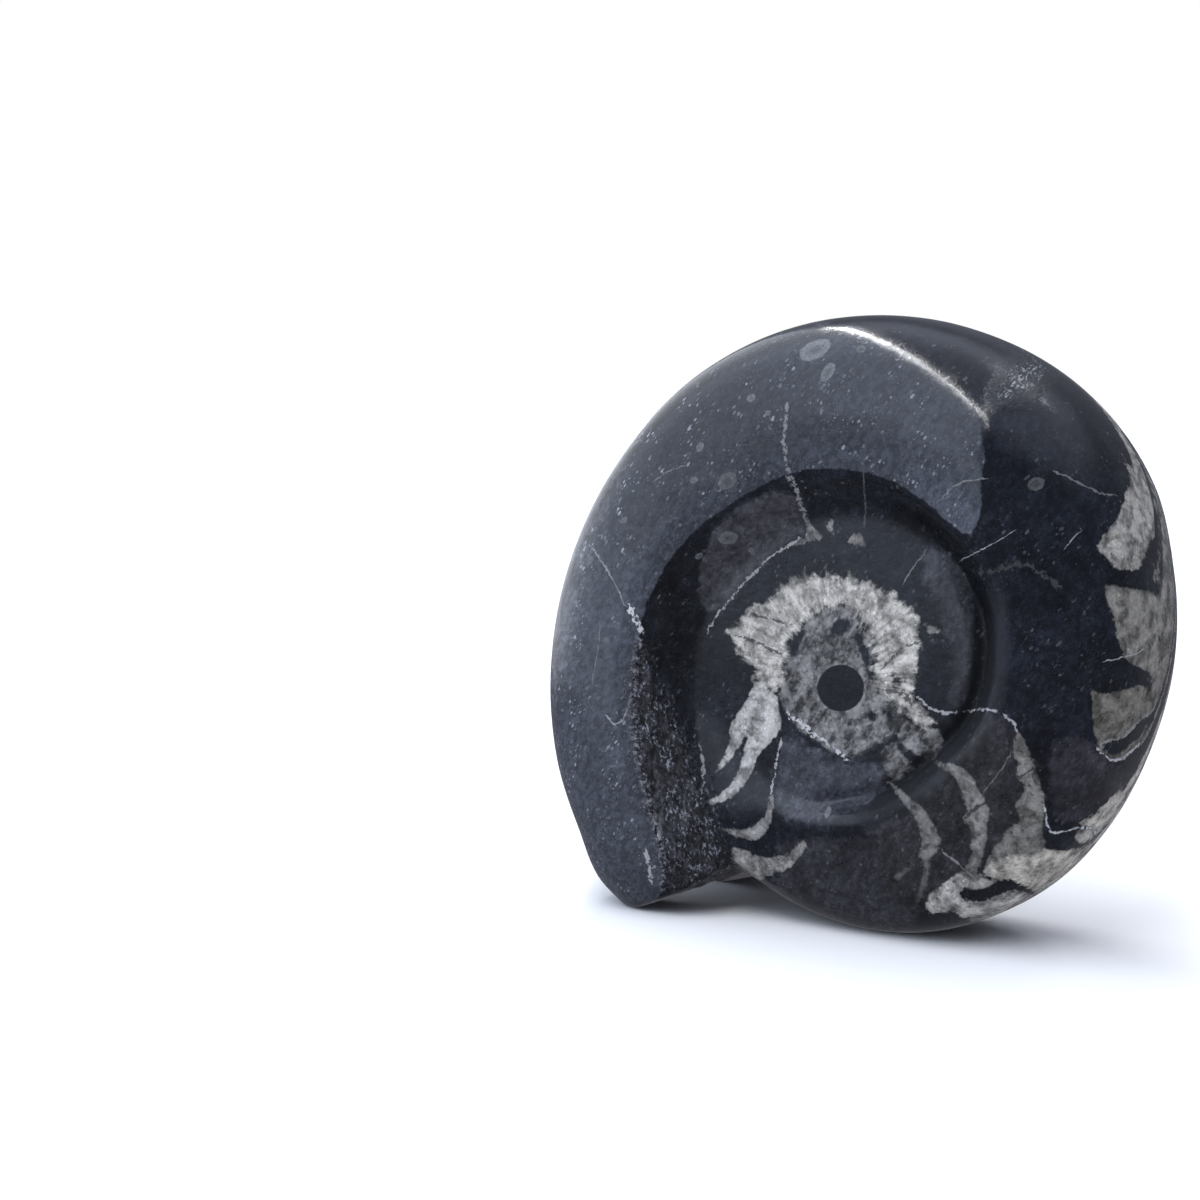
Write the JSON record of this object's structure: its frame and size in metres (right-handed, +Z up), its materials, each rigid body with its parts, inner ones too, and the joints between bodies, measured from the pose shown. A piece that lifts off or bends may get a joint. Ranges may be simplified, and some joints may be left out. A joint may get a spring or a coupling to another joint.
{
  "type": "fossil ammonite",
  "caption": "Polished fossil ammonite that stands on edge on its two lip lobes and a small flat spot on its keel, with a wide shallow umbilicus on both flanks.",
  "frame": {"origin": "centre of the footprint of the bounding box, on the plane that the fossil rests on", "axes": "+Z up, +Y along the coil's axis, +X away from the aperture, which is at the lower left seen along +Y"},
  "size_m": [0.0689, 0.031, 0.0651],
  "materials": {
    "stone": "polished"
  },
  "bodies": {
    "root": {"ammonite": "stone"}
  },
  "joints": []
}
